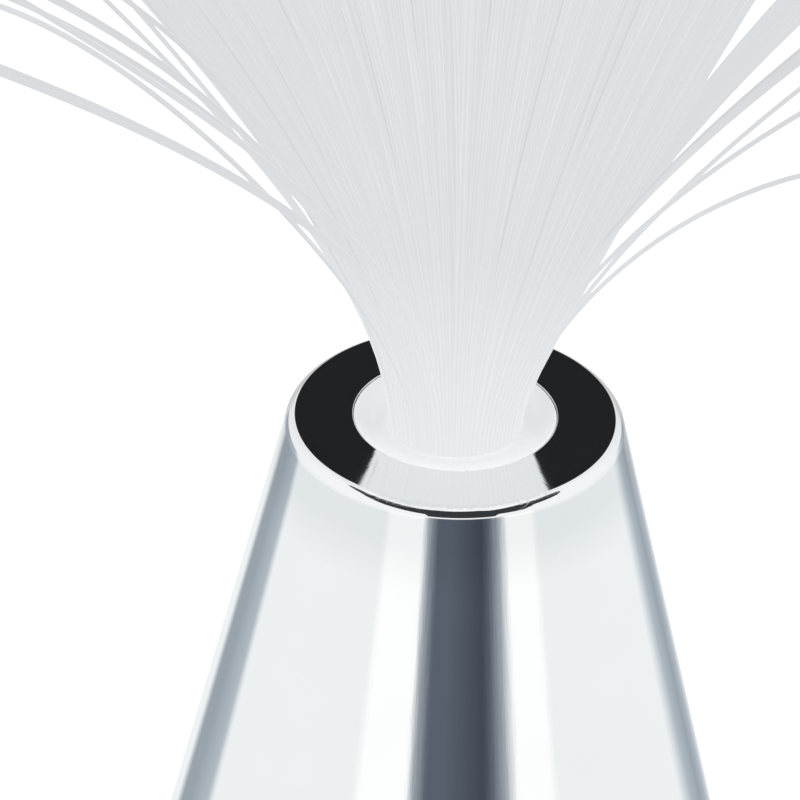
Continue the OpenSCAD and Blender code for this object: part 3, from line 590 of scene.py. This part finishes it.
# Linear tones of the studio that the polished metal sees
WALL = (0.79, 0.82, 0.83)
DIM_WALL = (0.73, 0.75, 0.77)
UPPER_WALL = (0.85, 0.85, 0.86)
PANEL = (0.93, 0.93, 0.93)
PALE_FLAG = (0.4, 0.45, 0.5)
FLAG = (0.3, 0.34, 0.38)
SLATE = (0.09, 0.11, 0.14)
DARK_SLATE = (0.05, 0.06, 0.08)
BACK_TONE = (0.55, 0.55, 0.55)
ARCH_TONE = 0.04
BACK_ARCH_TONE = 0.015
REFLECTION_GAIN = 1.11

# Below the horizon, by direction from the front (degrees, + to the right): a wall with a grey flag at the
# back on either side, and a slate flag with grey borders in front between two white panels
LOW_RING = (
    (-180, WALL), (-153, WALL), (-145, FLAG), (-135, FLAG), (-120, PALE_FLAG), (-115, WALL),
    (-41, WALL), (-37, PANEL), (-17, PANEL), (-13.5, FLAG), (-8, SLATE), (0, SLATE), (18, DARK_SLATE),
    (22, SLATE), (28, FLAG), (34, PANEL), (49, PANEL), (53, WALL), (124, WALL), (135, PALE_FLAG), (146, FLAG),
    (156, PALE_FLAG), (170, WALL))
# Above the horizon
HIGH_RING = ((-180, DIM_WALL), (-150, DIM_WALL), (-100, UPPER_WALL), (110, UPPER_WALL), (150, DIM_WALL))
# The dark arch above the horizon: direction, its lowest and highest elevation in degrees, tone. Lowest above
# highest leaves a gap.
DARK_ARCH = (
    (-180, 12, 51, BACK_ARCH_TONE), (-164, 12, 51, BACK_ARCH_TONE), (-163, 40, 20, BACK_ARCH_TONE),
    (-102, 57, 53, ARCH_TONE), (-94, 50, 57, ARCH_TONE), (-75, 46, 58, ARCH_TONE), (-59, 38, 58, ARCH_TONE),
    (-47, 31, 56, ARCH_TONE), (-25, 24, 54, ARCH_TONE), (-16.5, 22, 55, ARCH_TONE), (-15, 9, 56, ARCH_TONE),
    (0, 9, 55, ARCH_TONE), (25, 9, 57, ARCH_TONE), (27, 11, 54, ARCH_TONE), (30, 22, 52, ARCH_TONE),
    (47, 22, 55, ARCH_TONE), (59, 36, 57, ARCH_TONE), (81, 40, 57, ARCH_TONE), (94, 48, 57, ARCH_TONE),
    (102, 57, 53, ARCH_TONE), (163, 40, 20, BACK_ARCH_TONE), (164, 12, 51, BACK_ARCH_TONE))
# Widths of the arch's soft edge and of the zone low at the back, in degrees of elevation or heading
ARCH_EDGE = 0.6
BACK_FROM, BACK_TO = 146, 154
BACK_LOW, BACK_LOW_END, BACK_HIGH_END, BACK_HIGH = -29, -26, 9, 12
CEILING = 62
FLOOR_LIFT = 0.42
LIGHT_TARGET = (0, 0, 0.15)


def ring_ramp(s, heading, stops):
    """A colour ramp over -180 to 180 degrees of stops (direction, r, g, b). The first closes the ring."""
    ramp = s.add("ShaderNodeValToRGB", Fac=s.spread(heading, 0, 1, -180, 180))
    found = ramp.color_ramp
    stops = (*stops, (180, *stops[0][1:]))
    while len(found.elements) < len(stops):
        found.elements.new(0.5)
    for element, stop in zip(found.elements, stops):
        element.position = (stop[0] + 180) / 360
    for element, stop in zip(found.elements, stops):
        element.color = tone(*stop[1:])
    return ramp.outputs["Color"]


def gained(shade):
    return [v * REFLECTION_GAIN for v in shade]


def levels(stops):
    return [(direction, *gained(shade)) for direction, shade in stops]


def build_floor():
    """A pale floor that catches the lamp's shadow. Mirrors see the world's rings in its place."""
    mesh = bpy.data.meshes.new("floor")
    half = 6.0
    corners = [(-half, -half, 0), (half, -half, 0), (half, half, 0), (-half, half, 0)]
    mesh.from_pydata(corners, [], [(0, 1, 2, 3)])
    floor = add_object("floor", mesh)
    s = new_look("floor_look")
    camera_ray = s.add("ShaderNodeLightPath").outputs["Is Camera Ray"]
    plain = s.add("ShaderNodeBsdfDiffuse", Color=tone(0.8, 0.8, 0.8))
    lift = s.add("ShaderNodeEmission", Color=tone(1, 1, 1),
                 Strength=s.spread(camera_ray, 0, FLOOR_LIFT, 0, 1))
    s.finish("ShaderNodeOutputMaterial",
             s.add("ShaderNodeAddShader", n0=plain.outputs[0], n1=lift.outputs[0]))
    dress(floor, s.owner)
    floor.visible_glossy = False


def build_world():
    """White to the camera, a soft grey light for the rest, and a drawn studio for mirrors."""
    world = bpy.data.worlds.new("studio")
    bpy.context.scene.world = world
    s = Shader(world)
    x, y, z = s.split(s.add("ShaderNodeTexCoord").outputs["Generated"])
    heading = s.sum("DEGREES", s.sum("ARCTAN2", x, s.sum("MULTIPLY", y, -1.0)))
    rise = s.sum("DEGREES", s.sum("ARCSINE", z))
    side = s.blend(s.spread(rise, 0, 1, -1.0, 1.0), ring_ramp(s, heading, levels(LOW_RING)),
                   ring_ramp(s, heading, levels(HIGH_RING)))
    back = s.sum("MULTIPLY", s.spread(s.sum("ABSOLUTE", heading), 0, 1, BACK_FROM, BACK_TO),
                 s.sum("MULTIPLY", s.spread(rise, 0, 1, BACK_LOW, BACK_LOW_END),
                       s.spread(rise, 1, 0, BACK_HIGH_END, BACK_HIGH)))
    side = s.blend(back, side, tone(*gained(BACK_TONE)))
    arch = s.split(ring_ramp(s, heading, [(d, low / 90, high / 90, v) for d, low, high, v in DARK_ARCH]))
    low, high = (s.sum("MULTIPLY", limit, 90.0) for limit in (arch[0], arch[1]))
    above = s.spread(s.sum("SUBTRACT", rise, low), 0, 1, -ARCH_EDGE, ARCH_EDGE)
    below = s.spread(s.sum("SUBTRACT", high, rise), 0, 1, -ARCH_EDGE, ARCH_EDGE)
    dark = s.add("ShaderNodeCombineXYZ", X=s.sum("MULTIPLY", arch[2], 0.9), Y=arch[2],
                 Z=s.sum("MULTIPLY", arch[2], 1.12)).outputs[0]
    walls = s.blend(s.sum("MULTIPLY", above, below), side, dark)
    studio = s.blend(s.spread(rise, 0, 1, CEILING - 2, CEILING), walls, tone(*[REFLECTION_GAIN] * 3))
    path = s.add("ShaderNodeLightPath").outputs
    plain = s.blend(path["Is Camera Ray"], tone(0.9, 0.91, 0.92), tone(1, 1, 1))
    seen = s.blend(path["Is Glossy Ray"], plain, studio)
    s.finish("ShaderNodeOutputWorld", s.add("ShaderNodeBackground", Color=seen, Strength=1.0))


def area_light(name, place, size, power):
    """A soft disc lamp that faces the lamp's middle and isn't mirrored in it."""
    data = bpy.data.lights.new(name, "AREA")
    data.shape = "DISK"
    data.size = size
    data.energy = power
    lamp = bpy.data.objects.new(name, data)
    lamp.location = place
    lamp.rotation_euler = (Vector(LIGHT_TARGET) - Vector(place)).to_track_quat("-Z", "Y").to_euler()
    lamp.visible_glossy = False
    bpy.context.scene.collection.objects.link(lamp)


# The camera, fitted to the photograph's outlines
CAMERA_PLACE = (0, -0.41633, 0.39281)
CAMERA_PITCH = 0.5770
CAMERA_YAW = -0.0166
CAMERA_ROLL = 0.0232
CAMERA_LENS = 180
SENSOR = 36


def build_camera():
    data = bpy.data.cameras.new("camera")
    data.lens = CAMERA_LENS
    data.sensor_width = SENSOR
    data.clip_start = 0.01
    level = math.cos(CAMERA_PITCH)
    ahead = Vector((math.sin(CAMERA_YAW) * level, math.cos(CAMERA_YAW) * level, -math.sin(CAMERA_PITCH)))
    right = ahead.cross(Vector((0, 0, 1))).normalized()
    up = right.cross(ahead)
    c, s = math.cos(CAMERA_ROLL), math.sin(CAMERA_ROLL)
    right, up = c * right + s * up, c * up - s * right
    camera = bpy.data.objects.new("camera", data)
    turn = Matrix((right, up, -ahead)).transposed()
    camera.matrix_world = Matrix.Translation(CAMERA_PLACE) @ turn.to_4x4()
    bpy.context.scene.collection.objects.link(camera)
    bpy.context.scene.camera = camera


# ---------- put together ----------

shell = build_shell()
ferrule = build_ferrule()
root = build_root()
fibres, strays = build_fibres()
dress_all(shell, ferrule, root, fibres, strays)

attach(shell, "base")
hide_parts("cone_shell")
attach(ferrule, "head")
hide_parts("ferrule")
for piece in [root, strays] + fibres:
    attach(piece, "head")
    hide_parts("fibre_spray")

build_floor()
build_world()
area_light("key", (-0.7, -0.6, 1.2), 0.9, 5.0)
area_light("fill", (0.8, -0.3, 0.9), 0.9, 2.5)
build_camera()
bpy.context.scene.view_settings.view_transform = "Standard"
